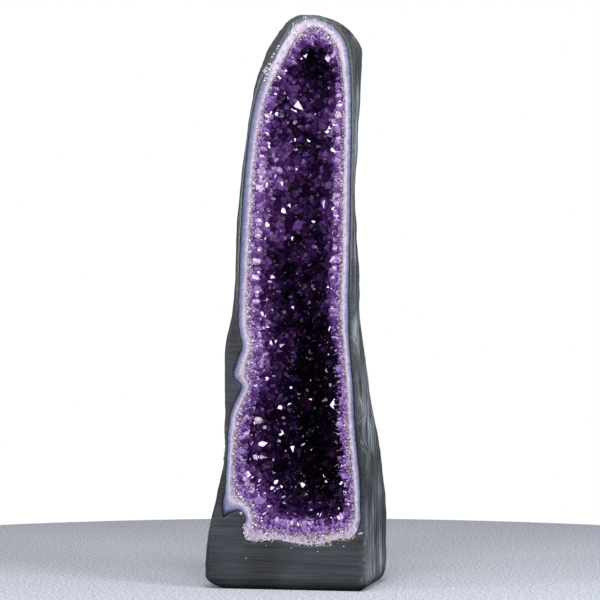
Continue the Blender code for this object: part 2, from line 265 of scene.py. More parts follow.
def body_rings():
    """The levels of the cement body's outer side: heights, and rings of points from right to left."""
    grid = merged_mesh("cement_casing")
    vertices = sorted((vertex.co.copy() for vertex in grid.verts), key=lambda place: place.z)
    grid.free()
    levels = [[vertices[0]]]
    for place in vertices[1:]:
        if place.z - levels[-1][-1].z > MERGE_GAP:
            levels.append([])
        levels[-1].append(place)
    heights, rings = [], []
    for level in levels:
        if len(level) < SMALLEST_LEVEL:
            continue
        middle = (min(place.x for place in level) + max(place.x for place in level)) / 2
        front = min(place.y for place in level) - 1e-4
        level.sort(key=lambda place: math.atan2(place.y - front, place.x - middle))
        heights.append(level[0].z)
        rings.append([tuple(place) for place in level])
    return heights, rings


def spine_point(z):
    """The nearest point of the inner line to a height, as (x, z)."""
    height = min(max(z, SPINE_LOW.y), SPINE_HIGH.y)
    share = (height - SPINE_LOW.y) / (SPINE_HIGH.y - SPINE_LOW.y)
    return SPINE_LOW.lerp(SPINE_HIGH, share)


HEIGHTS, RINGS = body_rings()
DEPTHS = [max(place[1] for place in ring) - FRONT_Y for ring in RINGS]


def body_depth(z):
    """Depth of the cement body behind the cut face."""
    return float(np.interp(z, HEIGHTS, DEPTHS))


def bowl_point(x, z, width, wall):
    """A point of a bowl behind the cut face: width 1 is its rim, 0 its deepest line."""
    inner = spine_point(z)
    reach = math.sqrt(max(0.0, 1.0 - width * width))
    return Vector((
        inner.x + (x - inner.x) * width,
        FRONT_Y + (body_depth(inner.y) - wall) * reach,
        inner.y + (z - inner.y) * width,
    ))


AGATE_OUTSIDE, AGATE_INSIDE = cut_loops("agate_shell")
HOLLOW_RIM = cut_loops("amethyst_lining")[1]
AGATE_EDGE = wavering(smooth_loop(AGATE_OUTSIDE, RIM_SPACING), 0.0008, 0.012, 3.1)
AMETHYST_EDGE = wavering(smooth_loop(AGATE_INSIDE, RIM_SPACING), 0.0012, 0.010, 8.4)
HOLLOW_EDGE = wavering(smooth_loop(HOLLOW_RIM, RIM_SPACING), 0.0030, 0.013, 5.7)


# ---------------------------------------------------------------- flat cut faces

def fill_between(outer, inner, spacing, draw):
    """Even triangles between two loops: points as (x, z), loops first, and faces."""
    low, high = outer.min(axis=0), outer.max(axis=0)
    rows = np.arange(low[1], high[1], spacing * 0.87)
    grid = []
    for number, z in enumerate(rows):
        start = low[0] + (spacing / 2 if number % 2 else 0.0)
        for x in np.arange(start, high[0], spacing):
            grid.append((x + draw.uniform(-0.2, 0.2) * spacing, z + draw.uniform(-0.2, 0.2) * spacing))
    grid = np.array(grid)
    grid = grid[inside(grid, outer) & ~inside(grid, inner)]
    edges = np.vstack([outer, inner])
    grid = grid[distance_to(grid, edges) > spacing * 0.55]
    points = np.vstack([outer, inner, grid])
    borders = [(index, (index + 1) % len(outer)) for index in range(len(outer))]
    first = len(outer)
    borders += [(first + index, first + (index + 1) % len(inner)) for index in range(len(inner))]
    corners = [Vector(point) for point in points]
    made = delaunay_2d_cdt(corners, borders, [], 0, 1e-9)
    triangles = np.array(made[2])
    middles = points[triangles].mean(axis=1)
    kept = inside(middles, outer) & ~inside(middles, inner)
    return points, [tuple(int(corner) for corner in triangle) for triangle in triangles[kept]]


def ring_faces(first, second, count):
    """Four-sided faces between two rings that start at these points."""
    faces = []
    for index in range(count):
        after = (index + 1) % count
        faces.append((first + index, first + after, second + after, second + index))
    return faces


def add_bowl(points, faces, rim_first, loop, wall):
    """Close a bowl behind a loop whose points are already in the list."""
    count = len(loop)
    ring_first = rim_first
    for width in BOWL_STEPS:
        following = len(points)
        points.extend(bowl_point(x, z, width, wall) for x, z in loop)
        faces.extend(ring_faces(ring_first, following, count))
        ring_first = following
    faces.append(tuple(ring_first + index for index in range(count)))


# ---------------------------------------------------------------- cement casing

ROUNDED_COLUMNS = 12  # columns of points at each side that the rounded edge may reach
FRONT_DEPTH = 0.018  # how far behind the cut face the brush strokes of the front reach
# Relief of the cement's sides, as (height, size, offset, how much it is drawn out upwards)
SIDE_RELIEF = (
    (0.0014, 0.055, 2.0, 1.0), (0.0008, 0.018, 4.0, 1.0),
    (0.0007, 0.0085, 6.0, 0.12), (0.0004, 0.0048, 9.0, 0.10),
)


def casing_grid():
    """The body's outer side as a grid of points, rows upwards, columns from right to left."""
    heights = np.array(HEIGHTS)
    shares = np.linspace(0.0, 1.0, BODY_COLUMNS)
    even_rings = []
    for ring in RINGS:
        ring = np.array(ring)
        knots = np.concatenate([[0.0], np.cumsum(np.linalg.norm(np.diff(ring, axis=0), axis=1))])
        even_rings.append(hermite(knots / knots[-1], ring, shares))
    rows = int((heights[-1] - heights[0]) / BODY_ROW)
    low_rows = [0.0, 0.0012, 0.0026]
    wanted = np.array(low_rows + list(np.linspace(0.0045, heights[-1], rows)))
    grid = hermite(heights, np.array(even_rings), wanted)
    grid[:, :, 2] = wanted[:, None]
    return grid


def build_casing():
    """Cement base and backing: brushed flat in front, rough and lumpy on the sides and back."""
    draw = random.Random(SEED)
    grid = casing_grid()
    rows, columns = grid.shape[:2]
    points = [Vector(place) for place in grid.reshape(-1, 3)]
    faces = []
    for row in range(rows - 1):
        for column in range(columns - 1):
            here = row * columns + column
            faces.append((here, here + 1, here + columns + 1, here + columns))

    right = [row * columns for row in range(rows)]
    left = [row * columns + columns - 1 for row in range(rows)]
    bottom_edge = add_edge(points, right[0], left[0])
    top_edge = add_edge(points, left[-1], right[-1])
    outline = right[::-1] + bottom_edge + left + top_edge
    faces.append(tuple(list(range(columns)) + bottom_edge[::-1]))
    top_ring = [(rows - 1) * columns + column for column in range(columns)] + top_edge
    add_dome(points, faces, top_ring)

    outer = np.array([(points[index].x, points[index].z) for index in outline])
    radii, inwards = edge_radii(outer)
    flat, triangles = fill_between(outer, AGATE_EDGE, FACE_SPACING * 1.3, draw)
    numbers = list(outline)
    edge_y = np.array([points[index].y for index in right])
    edge_z = np.array([points[index].z for index in right])
    loops = len(outline) + len(AGATE_EDGE)
    for number, (x, z) in enumerate(flat[len(outline):], start=len(outline)):
        place = Vector((x, float(np.interp(z, edge_z, edge_y)), z))
        if number >= loops:
            gaps = np.hypot(outer[:, 0] - x, outer[:, 1] - z)
            nearest = int(gaps.argmin())
            round_front(place, gaps[nearest], radii[nearest], inwards[nearest])
        numbers.append(len(points))
        points.append(place)
    for number, index in enumerate(outline):
        row, column = divmod(index, columns)
        if index < rows * columns:
            step = 1 if column == 0 else -1
            for offset in range(ROUNDED_COLUMNS):
                round_side(points[index + step * offset], edge_y[row], radii[number], inwards[number])
    faces.extend(tuple(numbers[corner] for corner in triangle) for triangle in triangles)
    seat_first = len(points)
    add_bowl(points, faces, numbers[len(outline)], AGATE_EDGE, CEMENT_WALL)

    casing = make_object("geode_casing", points, faces, smooth=True)
    turn_outwards(casing)
    round_edges(casing, outer)
    roughen_casing(casing, seat_first)
    return casing


def edge_radii(outline):
    """How far the outer edge of the cut face is rounded at each point, and the way into the face."""
    gap = distance_to(outline, AGATE_EDGE)
    base = np.clip((0.32 - outline[:, 1]) / 0.14, 0.0, 1.0)
    foot = np.clip(outline[:, 1] / 0.018, 0.0, 1.0)
    limit = 0.0045 + base * np.where(outline[:, 0] > 0, 0.0125, 0.0065)
    radii = np.clip(gap * 0.75, 0.0008, limit) * foot
    along = np.roll(outline, -1, axis=0) - np.roll(outline, 1, axis=0)
    along /= np.linalg.norm(along, axis=1)[:, None]
    inwards = np.column_stack([along[:, 1], -along[:, 0]])
    return radii, inwards


def round_front(place, gap, radius, inward):
    """Move a point of the cut face onto the rounded edge, by its gap to the outline."""
    if gap >= radius:
        return
    angle = math.pi / 4 * (1.0 - gap / radius)
    shift = radius * (1.0 - math.sin(angle)) - gap
    place.x += inward[0] * shift
    place.z += inward[1] * shift
    place.y += radius * (1.0 - math.cos(angle))


def round_side(place, front, radius, inward):
    """Move a point of the body's side onto the rounded edge, by its depth behind the cut face."""
    depth = place.y - front
    if depth >= radius:
        return
    angle = math.pi / 4 * (1.0 + depth / radius)
    shift = radius * (1.0 - math.sin(angle))
    place.x += inward[0] * shift
    place.z += inward[1] * shift
    place.y = front + radius * (1.0 - math.cos(angle))


def add_edge(points, start, end):
    """Points on a straight edge between two points, ends left out; returns their numbers."""
    first, last = points[start].copy(), points[end].copy()
    count = max(2, int((last - first).length / BODY_ROW))
    numbers = []
    for step in range(1, count):
        numbers.append(len(points))
        points.append(first.lerp(last, step / count))
    return numbers


def add_dome(points, faces, ring):
    """Close a ring with a few smaller rings that rise to a low crown."""
    middle = sum((points[index] for index in ring), Vector()) / len(ring)
    count = len(ring)
    here = list(ring)
    for scale in (0.75, 0.5, 0.25):
        inner = []
        for index in ring:
            inner.append(len(points))
            place = middle.lerp(points[index], scale)
            place.z += 0.0012 * (1.0 - scale)
            points.append(place)
        for index in range(count):
            after = (index + 1) % count
            faces.append((here[index], here[after], inner[after], inner[index]))
        here = inner
    faces.append(tuple(here))


def round_edges(casing, outline):
    """Soften the ground outer edge of the cut face, the foot and the crown."""
    grid = bmesh.new()
    grid.from_mesh(casing.data)
    near_front = [vertex for vertex in grid.verts if vertex.co.y < FRONT_Y + 0.008]
    places = np.array([(vertex.co.x, vertex.co.z) for vertex in near_front])
    close = distance_to(places, outline) < 0.0032
    agate_near = distance_to(places, AGATE_EDGE) < 0.0018
    edge = [vertex for vertex, take, keep in zip(near_front, close, agate_near) if take and not keep]
    soften(grid, edge, 5)
    crown = [vertex for vertex in grid.verts if vertex.co.z > BODY_TOP - 0.012]
    crown_gaps = distance_to(np.array([(vertex.co.x, vertex.co.z) for vertex in crown]), AGATE_EDGE)
    crown = [vertex for vertex, gap in zip(crown, crown_gaps) if gap > 0.003 or vertex.co.y > FRONT_Y + 0.004]
    soften(grid, crown, 10)
    grid.to_mesh(casing.data)
    grid.free()


def soften(grid, vertices, times):
    """Smooth some vertices of a mesh a number of times."""
    axes = {"use_axis_x": True, "use_axis_y": True, "use_axis_z": True}
    for _ in range(times):
        bmesh.ops.smooth_vert(grid, verts=vertices, factor=0.5, **axes)


def relief(place):
    """Height of the lumps and ridges on the cement's sides."""
    layers = [
        height * waves((place.x, place.y, place.z * drawn), size, offset)
        for height, size, offset, drawn in SIDE_RELIEF
    ]
    return (layers[0] + layers[1]) + (layers[2] + layers[3])


def roughen_casing(casing, seat_first):
    """Trowel lumps and brush ridges on the cement, and shallow strokes on its front."""
    mesh = casing.data
    mesh.update()
    strokes = np.zeros(len(mesh.vertices))
    normals = [vertex.normal.copy() for vertex in mesh.vertices]
    places = np.array([(vertex.co.x, vertex.co.z) for vertex in mesh.vertices])
    # A pale grey line on the cut face along the agate's border, on its upper half only.
    pale_border_line = np.clip(1.0 - distance_to(places, AGATE_EDGE) / 0.0030, 0.0, 1.0)
    depths = np.array([vertex.co.y - FRONT_Y for vertex in mesh.vertices])
    pale_border_line *= np.clip((places[:, 1] - 0.42) / 0.10, 0.0, 1.0)
    set_attribute(casing, "pale_border_line", np.where(depths < 0.004, pale_border_line, 0.0))
    for vertex, normal in zip(mesh.vertices, normals):
        place = vertex.co.copy()
        if vertex.index >= seat_first:
            continue
        front = part_of(-normal.y - 0.2, 0.6) * part_of(FRONT_DEPTH - depths[vertex.index], 0.006)
        if place.z < 0.010 and depths[vertex.index] < 0.015:
            front = 1.0
        strokes[vertex.index] = front
        brushed = 0.00018 * waves((place.x * 0.12, 0.0, place.z), 0.0085, 12.0)
        off_floor = min(1.0, place.z / 0.006)
        vertex.co += normal * (relief(place) * (1.0 - front) * off_floor + brushed * front)
    set_attribute(casing, "front", strokes)


# ---------------------------------------------------------------- agate rim

def build_agate():
    """The agate and white quartz: a polished band in front and a shell behind it."""
    draw = random.Random(SEED + 1)
    flat, triangles = fill_between(AGATE_EDGE, AMETHYST_EDGE, FACE_SPACING, draw)
    band = way_across(flat, AGATE_EDGE, AMETHYST_EDGE)
    points = [Vector((x, FRONT_Y - 0.0002, z)) for x, z in flat]
    faces = list(triangles)
    add_bowl(points, faces, 0, AGATE_EDGE, CEMENT_WALL + SKIN_GAP)
    add_bowl(points, faces, len(AGATE_EDGE), AMETHYST_EDGE, BEHIND_AGATE)
    agate = make_object("agate_rim", points, faces)
    turn_outwards(agate)
    values = np.concatenate([band, np.zeros(len(points) - len(band))])
    set_attribute(agate, "band", values)
    set_attribute(agate, "pale", [paleness(point) for point in points])
    return agate


def paleness(place):
    """How far the blue of the agate gives way to white quartz: all along the foot, partly at the crown."""
    foot = part_of(0.108 - place.z, 0.014) * part_of(place.x + 0.078, 0.010)
    crown = part_of(place.z - 0.795, 0.030) * (0.34 + 0.50 * part_of(0.050 - place.x, 0.030))
    right = 0.34 if place.x > spine_point(place.z).x and place.z < 0.80 else 0.0
    low_left = 0.30 * part_of(0.50 - place.z, 0.10) if place.x < 0.0 else 0.0
    return max(foot, crown, right, low_left)


# ---------------------------------------------------------------- amethyst bed

def hollow_point(share, width):
    """A point of the hollow's wall: share runs round its rim, width from 1 at the rim to 0 at the back."""
    count = len(HOLLOW_EDGE)
    place = (share % 1.0) * count
    first = int(place) % count
    step = HOLLOW_EDGE[(first + 1) % count] - HOLLOW_EDGE[first]
    x, z = HOLLOW_EDGE[first] + step * (place - int(place))
    return bowl_point(x, z, width, BEHIND_LINING)


def hollow_frame(share, width):
    """Place on the hollow's wall and the direction into the hollow there."""
    place = hollow_point(share, width)
    around = hollow_point(share + 0.002, width) - hollow_point(share - 0.002, width)
    deeper = hollow_point(share, max(0.02, width - 0.01)) - hollow_point(share, min(1.0, width + 0.01))
    inward = around.cross(deeper)
    if inward.length < 1e-12:
        inward = OUTWARDS.copy()
    inward.normalize()
    inner = spine_point(place.z)
    towards = Vector((inner.x, FRONT_Y + 0.02, inner.y)) - place
    if inward.dot(towards) < 0:
        inward.negate()
    return place, inward


def band_recess(share):
    """How far the grainy band lies behind the cut face: share runs from the agate to the hollow."""
    return 0.0004 + 0.0030 * min(1.0, share / 0.14) + 0.0055 * share ** 1.5


def build_bed():
    """The bed that the crystals grow from: the grainy band of the cut face and the hollow's wall."""
    draw = random.Random(SEED + 2)
    flat, triangles = fill_between(AMETHYST_EDGE, HOLLOW_EDGE, FACE_SPACING, draw)
    across = way_across(flat, AMETHYST_EDGE, HOLLOW_EDGE)
    points = [Vector((x, FRONT_Y + band_recess(share), z)) for (x, z), share in zip(flat, across)]
    faces = list(triangles)
    add_bowl(points, faces, 0, AMETHYST_EDGE, BEHIND_AGATE + SKIN_GAP)
    count = len(HOLLOW_EDGE)
    ring_first = len(AMETHYST_EDGE)
    for step in range(1, HOLLOW_STEPS):
        width = math.cos(step / HOLLOW_STEPS * math.pi / 2)
        following = len(points)
        for x, z in HOLLOW_EDGE:
            place = bowl_point(x, z, width, BEHIND_LINING)
            place += Vector((1.0, 1.0, 1.0)) * 0.0015 * waves(place, 0.006, 3.0)
            points.append(place)
        faces.extend(ring_faces(ring_first, following, count))
        ring_first = following
    faces.append(tuple(ring_first + index for index in range(count)))
    bed = make_object("amethyst_bed", points, faces)
    turn_outwards(bed)
    set_attribute(bed, "across", np.concatenate([across, np.full(len(points) - len(across), 1.2)]))
    return bed


# ---------------------------------------------------------------- crystals

PRISM_SLOPE = math.radians(51.8)  # angle of a quartz tip face from the crystal's axis


def quartz_shape(draw):
    """One quartz crystal of radius 1 along +Z: six sides, three large and three small tip faces."""
    planes = []
    for side in range(6):
        angle = side * math.pi / 3
        out = Vector((math.cos(angle), math.sin(angle), 0.0))
        planes.append((out, draw.uniform(0.82, 1.08)))
        tip = Vector((math.cos(angle) * math.sin(PRISM_SLOPE), math.sin(angle) * math.sin(PRISM_SLOPE),
                      math.cos(PRISM_SLOPE)))
        lift = draw.uniform(1.0, 1.12) if side % 2 == 0 else draw.uniform(1.06, 1.5)
        planes.append((tip, math.cos(PRISM_SLOPE) * 1.45 * lift))
    planes.append((Vector((0.0, 0.0, -1.0)), 1.3))
    corners = []
    for three in combinations(planes, 3):
        normals = Matrix([normal for normal, reach in three])
        if abs(normals.determinant()) < 1e-6:
            continue
        spot = normals.inverted() @ Vector([reach for normal, reach in three])
        if all(normal.dot(spot) <= reach + 1e-6 for normal, reach in planes):
            if all((spot - other).length > 1e-4 for other in corners):
                corners.append(spot)
    grid = bmesh.new()
    for corner in corners:
        grid.verts.new(corner)
    bmesh.ops.convex_hull(grid, input=grid.verts)
    bmesh.ops.dissolve_limit(grid, angle_limit=0.02, verts=grid.verts, edges=grid.edges)
    grid.verts.index_update()
    points = [vertex.co.copy() for vertex in grid.verts]
    faces = [[vertex.index for vertex in face.verts] for face in grid.faces]
    grid.free()
    return points, faces


class CrystalPile:
    """Collects crystals into one mesh, with a tone number for each."""

    def __init__(self, shapes):
        self.shapes = shapes
        self.points = []
        self.faces = []
        self.tones = []
        self.shades = []

    # The shade number is painted shade and painted light on the hollow's crystals; on the other crystals it
    # is their own purple.
    def add(self, place, axis, radius, draw, tone, shade, stretch=1.0):
        corners, faces = draw.choice(self.shapes)
        turn = axis.to_track_quat("Z", "Y").to_matrix() @ Matrix.Rotation(draw.uniform(0, math.tau), 3, "Z")
        first = len(self.points)
        for corner in corners:
            self.points.append(place + turn @ Vector((corner.x, corner.y, corner.z * stretch)) * radius)
        self.faces.extend([first + index for index in face] for face in faces)
        self.tones.extend([tone] * len(corners))
        self.shades.extend([shade] * len(corners))

    def build(self, name):
        pile = make_object(name, self.points, self.faces)
        set_attribute(pile, "tone", self.tones)
        set_attribute(pile, "shade", self.shades)
        return pile


def leaning(axis, amount, draw):
    """A direction near axis, up to about amount radians away."""
    wobble = Vector((draw.gauss(0, 1), draw.gauss(0, 1), draw.gauss(0, 1))) * amount * 0.6
    return (axis + wobble).normalized()


def scatter_hollow(draw):
    """Well spread places on the hollow's wall, as (place, direction, radius, depth share)."""
    cells = {}
    kept = []
    for _ in range(HOLLOW_TRIES):
        share = draw.random()
        width = math.cos(draw.uniform(0.02, 1.0) * math.pi / 2)
        place, inward = hollow_frame(share, width)
        depth = (place.y - FRONT_Y) / HOLLOW_DEPTH
        radius = draw.uniform(*HOLLOW_RADII) + (LARGER_BY if draw.random() < LARGER_SHARE else 0.0)
        radius *= (0.40 + 0.60 * min(1.0, depth / 0.20)) * (1.15 if place.z > 0.42 else 0.95)
        gap = radius * HOLLOW_CROWDING
        cell = tuple(int(value // HOLLOW_CELL) for value in place)
        near = neighbours(cells, cell)
        if any((place - spot).length < gap + size * HOLLOW_CROWDING for spot, size in near):
            continue
        cells.setdefault(cell, []).append((place, radius))
        kept.append((place, inward, radius, depth))
    return kept


def build_hollow_crystals(shapes):
    """Thousands of intergrown crystals on the hollow's wall, in one mesh for each stretch of height."""
    draw = random.Random(SEED + 3)
    piles = [CrystalPile(shapes) for _ in range(HOLLOW_BANDS)]
    for place, inward, radius, depth in scatter_hollow(draw):
        axis = leaning(inward, STRONG_LEAN if draw.random() < STRONG_SHARE else USUAL_LEAN, draw)
        tone = draw.random()
        band = min(HOLLOW_BANDS - 1, int((place.z - HOLLOW_LOW) / HOLLOW_HEIGHT * HOLLOW_BANDS))
        # Painted shade and light: crystals are darker the deeper they sit in the hollow and in the painted
        # shade zones, and paler with painted light at the lip.
        lip = max(0.0, 1.0 - depth / 0.13)
        shade = min(1.8, max(-0.6, 0.75 * depth + painted_shade_and_light(place) - 0.60 * lip))
        root = place - inward * radius * 0.35
        piles[band].add(root, axis, radius, draw, tone, shade, draw.uniform(0.85, 1.25))
    return [pile.build(f"druse_{number + 1:02d}") for number, pile in enumerate(piles)]


def painted_shade_and_light(place):
    """Painted shade and painted light on the crystals: painted shade low on the right and under the crown,
    painted light low on the left and higher up.
    """
    low = part_of(0.44 - place.z, 0.08)
    right = part_of(place.x + 0.004, 0.018)
    floor = part_of(place.z - 0.125, 0.030)
    crown = part_of(place.z - 0.775, 0.030)
    upper = max(0.0, 1.0 - abs(place.z - 0.64) / 0.14)
    return 1.60 * low * right * floor + 0.45 * crown - 0.08 * low * (1.0 - right) - 0.30 * upper


def build_rim_crystals(shapes):
    """Small broken crystals that make the grainy band of the cut face."""
    draw = random.Random(SEED + 4)
    piles = [CrystalPile(shapes) for _ in range(RIM_BANDS)]
    low, high = AMETHYST_EDGE.min(axis=0), AMETHYST_EDGE.max(axis=0)
    tries = [(draw.uniform(low[0], high[0]), draw.uniform(low[1], high[1])) for _ in range(RIM_TRIES)]
    spots = np.array(tries)
    spots = spots[inside(spots, AMETHYST_EDGE) & ~inside(spots, HOLLOW_EDGE)]
    cells = {}
    for (x, z), share in zip(spots, way_across(spots, AMETHYST_EDGE, HOLLOW_EDGE)):
        radius = draw.uniform(0.0012, 0.0021) + draw.uniform(0.0006, 0.0034) * share ** 1.3
        cell = (int(x // RIM_CELL), int(z // RIM_CELL))
        near = neighbours(cells, cell)
        if any(math.hypot(x - other_x, z - other_z) < (radius + size) * RIM_CROWDING
               for other_x, other_z, size in near):
            continue
        cells.setdefault(cell, []).append((x, z, radius))
        axis = leaning((inwards_from(x, z) * (0.2 + 0.8 * share) + OUTWARDS).normalized(), 0.60, draw)
        place = Vector((x, FRONT_Y + radius * 1.35 + 0.0030 * share, z))
        band = min(RIM_BANDS - 1, int((z - RIM_LOW) / RIM_HEIGHT * RIM_BANDS))
        piles[band].add(place, axis, radius, draw, draw.random(), share, draw.uniform(0.8, 1.1))
    return [pile.build(f"rim_grains_{number + 1:02d}") for number, pile in enumerate(piles)]


# Places on the cut face, as (x, z, half width, half height, number of crystals)
CRUST_PATCHES = (
    (0.020, 0.080, 0.085, 0.013, 520), (-0.056, 0.092, 0.012, 0.014, 90), (0.102, 0.086, 0.014, 0.008, 70),
    (0.020, 0.872, 0.024, 0.016, 110), (-0.008, 0.842, 0.016, 0.022, 90), (0.060, 0.880, 0.020, 0.010, 40),
)
NEEDLE_PATCHES = (
    (-0.024, 0.812, 0.010, 0.010, 26), (-0.030, 0.797, 0.006, 0.007, 7), (0.033, 0.885, 0.006, 0.005, 8),
    (0.047, 0.884, 0.008, 0.004, 7), (0.017, 0.875, 0.008, 0.008, 12), (0.058, 0.880, 0.007, 0.004, 3),
)
CRUMB_PATCHES = (
    (-0.039, 0.0775, 0.005, 0.003, 8), (0.060, 0.076, 0.024, 0.008, 70), (0.032, 0.893, 0.003, 0.002, 5),
    (0.005, 0.078, 0.050, 0.004, 26), (0.095, 0.081, 0.014, 0.004, 20),
)
CHIP_PLACES = (
    (-0.0102, 0.8487, 0.0017), (-0.0126, 0.8450, 0.0013), (-0.0178, 0.8367, 0.0019),
    (-0.0209, 0.8316, 0.0015), (-0.0700, 0.1187, 0.0024), (0.1205, 0.0906, 0.0020),
    (0.1170, 0.0898, 0.0013), (-0.0620, 0.0484, 0.0012), (0.0930, 0.0700, 0.0010),
    (0.0100, 0.0660, 0.0009), (-0.0300, 0.0690, 0.0008), (0.0520, 0.0610, 0.0009),
)
# Larger crystals along the rim of the hollow, as (x, z, radius, how purple)
RIM_CRYSTALS = (
    (0.0770, 0.8375, 0.0098, 0.42), (0.0700, 0.8290, 0.0062, 0.50), (0.0850, 0.7400, 0.0078, 0.02),
    (-0.0630, 0.2670, 0.0066, 0.34), (-0.0430, 0.2640, 0.0052, 0.00), (0.0870, 0.2570, 0.0068, 0.44),
    (-0.0440, 0.1380, 0.0070, 0.46), (0.0930, 0.1780, 0.0070, 0.55), (-0.0260, 0.7650, 0.0060, 0.50),
    (0.0850, 0.6550, 0.0064, 0.52), (-0.0420, 0.6000, 0.0058, 0.56), (0.0830, 0.5150, 0.0060, 0.48),
    (-0.0460, 0.4700, 0.0060, 0.50), (0.0800, 0.4350, 0.0060, 0.42), (0.0840, 0.3450, 0.0062, 0.54),
    (-0.0700, 0.2160, 0.0064, 0.46), (0.0300, 0.0960, 0.0060, 0.50), (-0.0100, 0.1020, 0.0056, 0.56),
    (0.0620, 0.1010, 0.0062, 0.46), (0.0450, 0.8530, 0.0056, 0.52), (0.0100, 0.8250, 0.0060, 0.50),
)


def inwards_from(x, z):
    """The way across the cut face from a place on the rim to the middle of the hollow."""
    inner = spine_point(z)
    return Vector((inner.x - x, 0.0, inner.y - z)).normalized()


def patch_spots(patches, draw):
    """Places spread over oval patches of the cut face."""
    for x, z, half_width, half_height, count in patches:
        for _ in range(count):
            turn, reach = draw.uniform(0.0, math.tau), math.sqrt(draw.random())
            yield x + half_width * reach * math.cos(turn), z + half_height * reach * math.sin(turn)


def on_agate(spots):
    """Which places of the cut face lie on the agate."""
    return inside(spots, AGATE_EDGE) & ~inside(spots, AMETHYST_EDGE)


def build_crust(shapes):
    """White quartz crust that covers the agate at the foot and on the left of the crown."""
    draw = random.Random(SEED + 5)
    pile = CrystalPile(shapes)
    spots = np.array(list(patch_spots(CRUST_PATCHES, draw)))
    for x, z in spots[on_agate(spots)]:
        radius = draw.uniform(0.0011, 0.0025)
        axis = leaning(OUTWARDS, 0.7, draw)
        place = Vector((x, FRONT_Y + radius * 0.9, z))
        shade = 0.30 * draw.random() ** 2
        pile.add(place, axis, radius, draw, draw.random(), shade, draw.uniform(0.7, 1.1))
    return pile.build("quartz_crust")


def build_needles(shapes):
    """Slender white quartz crystals that lie across the agate."""
    draw = random.Random(SEED + 6)
    pile = CrystalPile(shapes)
    for x, z in patch_spots(NEEDLE_PATCHES, draw):
        radius = draw.uniform(0.0007, 0.0014)
        axis = leaning(inwards_from(x, z) + Vector((0.0, -0.35, 0.0)), 0.35, draw)
        place = Vector((x, FRONT_Y + radius * 0.3, z))
        pile.add(place, axis, radius, draw, 0.25 * draw.random(), 0.0, draw.uniform(2.0, 3.2))
    return pile.build("quartz_needles")


def build_large_rim_crystals(shapes):
    """Larger single crystals along the rim of the hollow."""
    draw = random.Random(SEED + 7)
    pile = CrystalPile(shapes)
    for x, z, radius, purple in RIM_CRYSTALS:
        axis = leaning(inwards_from(x, z) * 0.6 + OUTWARDS, 0.25, draw)
        place = Vector((x, FRONT_Y + radius * 1.15, z))
        pile.add(place, axis, radius, draw, 0.46, purple, 0.95)
        for _ in range(3):
            turn = draw.uniform(0.0, math.tau)
            beside = Vector((math.cos(turn), 0.35, math.sin(turn))) * radius * 0.85
            size = radius * draw.uniform(0.40, 0.65)
            pile.add(place + beside, leaning(axis, 0.5, draw), size, draw, draw.random(), purple, 0.95)
    return pile.build("rim_large_crystals")


def build_crumbs(shapes):
    """Gold-brown crumbs of weathered crust along the foot and at the top of the crown."""
    draw = random.Random(SEED + 8)
    pile = CrystalPile(shapes)
    for x, z in patch_spots(CRUMB_PATCHES, draw):
        radius = draw.uniform(0.0007, 0.0017)
        place = Vector((x, FRONT_Y + radius * 0.3, z))
        pile.add(place, leaning(OUTWARDS, 1.2, draw), radius, draw, draw.random(), 0.0, 0.7)
    return pile.build("crust_crumbs")


def build_chips(shapes):
    """A few white chips of quartz caught in the cement."""
    draw = random.Random(SEED + 10)
    pile = CrystalPile(shapes)
    for x, z, radius in CHIP_PLACES:
        place = Vector((x, FRONT_Y + radius * 0.2, z))
        pile.add(place, leaning(OUTWARDS, 0.8, draw), radius, draw, 0.1, 0.0, 0.8)
    return pile.build("quartz_chips")


# ---------------------------------------------------------------- materials

